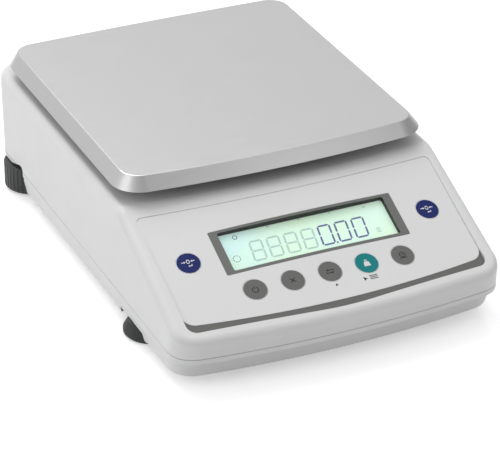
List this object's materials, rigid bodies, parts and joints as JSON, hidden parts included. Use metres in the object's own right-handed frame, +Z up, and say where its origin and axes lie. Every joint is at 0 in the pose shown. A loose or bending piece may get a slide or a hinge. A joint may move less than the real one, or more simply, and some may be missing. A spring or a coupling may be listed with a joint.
{
  "type": "precision balance",
  "caption": "Table-top precision balance with a wide steel pan, a sloping key panel with a display, and two levelling feet at the rear",
  "frame": {"origin": "centre of the bounding box's underside, on the table", "axes": "+X to the operator's right, +Y to the rear, +Z up"},
  "size_m": [0.2078, 0.3023, 0.0865],
  "materials": {
    "housing": "fine satin texture",
    "foil": "smooth satin",
    "trim": "satin",
    "frame": "satin",
    "window": "clear",
    "display": "smooth",
    "backlight": "smooth",
    "circuit_board": "lacquered",
    "switch": "moulded",
    "pan_steel": "finely brushed",
    "cast_alloy": "as cast",
    "milled_alloy": "milled",
    "turned_steel": "turned",
    "buffer_rubber": "matte",
    "winding": "lacquered wire",
    "magnet_iron": "ground",
    "insert_brass": "turned",
    "connector_metal": "plated",
    "connector_plastic": "moulded",
    "cable_grey": "smooth",
    "level_cup": "anodised",
    "level_glass": "clear",
    "screw_steel": "plated",
    "key_grey": "satin print",
    "key_teal": "satin print",
    "key_blue": "satin print",
    "foot_rubber": "matte",
    "knob_plastic": "moulded"
  },
  "bodies": {
    "housing": {"upper_housing": "housing", "base_tray": "housing", "panel_foil": "foil", "front_trim": "trim", "display_frame": "frame", "display_window": "window", "display_cell": "display", "display_backlight": "backlight", "display_board": "circuit_board", "key_switches": "switch", "cell_frame": "cast_alloy", "upper_guide": "milled_alloy", "lower_guide": "milled_alloy", "magnet_pot": "magnet_iron", "magnet_core": "magnet_iron", "foot_inserts": "insert_brass", "main_board": "circuit_board", "serial_shell": "connector_metal", "serial_insert": "connector_plastic", "serial_posts": "connector_metal", "power_inlet": "connector_plastic", "flat_cable": "cable_grey", "level_cup": "level_cup", "level_vial": "level_glass", "housing_screws": "screw_steel", "cell_screws": "screw_steel", "board_screws": "screw_steel", "front_foot_left": "foot_rubber", "front_foot_right": "foot_rubber"},
    "pan": {"weighing_pan": "pan_steel"},
    "carrier": {"pan_carrier": "cast_alloy", "pan_buffers": "buffer_rubber"},
    "receptor": {"load_receptor": "milled_alloy", "load_cone": "turned_steel", "lever_link": "turned_steel"},
    "lever": {"balance_lever": "milled_alloy", "pivot_pin": "turned_steel", "coil": "winding"},
    "key_power_cap": {"key_power": "key_grey"},
    "key_clear_cap": {"key_clear": "key_grey"},
    "key_units_cap": {"key_units": "key_grey"},
    "key_calibrate_cap": {"key_calibrate": "key_teal"},
    "key_print_cap": {"key_print": "key_grey"},
    "key_tare_left_cap": {"key_tare_left": "key_blue"},
    "key_tare_right_cap": {"key_tare_right": "key_blue"},
    "foot_tip_left": {"foot_pad_left": "foot_rubber"},
    "foot_wheel_left": {"foot_knob_left": "knob_plastic", "foot_stud_left": "turned_steel"},
    "foot_tip_right": {"foot_pad_right": "foot_rubber"},
    "foot_wheel_right": {"foot_knob_right": "knob_plastic", "foot_stud_right": "turned_steel"}
  },
  "joints": [
    {"name": "receptor_travel", "type": "slide", "parent": "housing", "child": "receptor", "axis": [0, 0, 1], "range_m": [-0.0003, 0.0003], "stiffness_N_per_m": 60000},
    {"name": "carrier_lift", "type": "slide", "parent": "receptor", "child": "carrier", "axis": [0, 0, 1], "range_m": [0, 0.03]},
    {"name": "pan_lift", "type": "slide", "parent": "carrier", "child": "pan", "axis": [0, 0, 1], "range_m": [0, 0.04]},
    {"name": "lever_tilt", "type": "hinge", "parent": "housing", "child": "lever", "pos_m": [0, 0.016, 0.051], "axis": [1, 0, 0], "range_deg": [-1.3, 1.3]},
    {"name": "key_power_press", "type": "slide", "parent": "housing", "child": "key_power_cap", "axis": [0, 0.4106, -0.9118], "range_m": [0, 0.0004], "stiffness_N_per_m": 2500, "springref_m": -0.0004},
    {"name": "key_clear_press", "type": "slide", "parent": "housing", "child": "key_clear_cap", "axis": [0, 0.4106, -0.9118], "range_m": [0, 0.0004], "stiffness_N_per_m": 2500, "springref_m": -0.0004},
    {"name": "key_units_press", "type": "slide", "parent": "housing", "child": "key_units_cap", "axis": [0, 0.4106, -0.9118], "range_m": [0, 0.0004], "stiffness_N_per_m": 2500, "springref_m": -0.0004},
    {"name": "key_calibrate_press", "type": "slide", "parent": "housing", "child": "key_calibrate_cap", "axis": [0, 0.4106, -0.9118], "range_m": [0, 0.0004], "stiffness_N_per_m": 2500, "springref_m": -0.0004},
    {"name": "key_print_press", "type": "slide", "parent": "housing", "child": "key_print_cap", "axis": [0, 0.4106, -0.9118], "range_m": [0, 0.0004], "stiffness_N_per_m": 2500, "springref_m": -0.0004},
    {"name": "key_tare_left_press", "type": "slide", "parent": "housing", "child": "key_tare_left_cap", "axis": [0, 0.4106, -0.9118], "range_m": [0, 0.0004], "stiffness_N_per_m": 2500, "springref_m": -0.0004},
    {"name": "key_tare_right_press", "type": "slide", "parent": "housing", "child": "key_tare_right_cap", "axis": [0, 0.4106, -0.9118], "range_m": [0, 0.0004], "stiffness_N_per_m": 2500, "springref_m": -0.0004},
    {"name": "foot_height_left", "type": "slide", "parent": "housing", "child": "foot_tip_left", "axis": [0, 0, -1], "range_m": [-0.0004, 0.006]},
    {"name": "foot_turn_left", "type": "hinge", "parent": "foot_tip_left", "child": "foot_wheel_left", "pos_m": [-0.0865, 0.1194, 0], "axis": [0, 0, -1], "range_deg": [-115.3, 1728.2]},
    {"name": "foot_height_right", "type": "slide", "parent": "housing", "child": "foot_tip_right", "axis": [0, 0, -1], "range_m": [-0.0004, 0.006]},
    {"name": "foot_turn_right", "type": "hinge", "parent": "foot_tip_right", "child": "foot_wheel_right", "pos_m": [0.0865, 0.1194, 0], "axis": [0, 0, -1], "range_deg": [-115.3, 1728.2]}
  ],
  "couplings": [
    {"joint": "lever_tilt", "follows": "receptor_travel", "rad_per_m": 71.429},
    {"joint": "foot_turn_left", "follows": "foot_height_left", "rad_per_m": 5026.5},
    {"joint": "foot_turn_right", "follows": "foot_height_right", "rad_per_m": 5026.5}
  ]
}
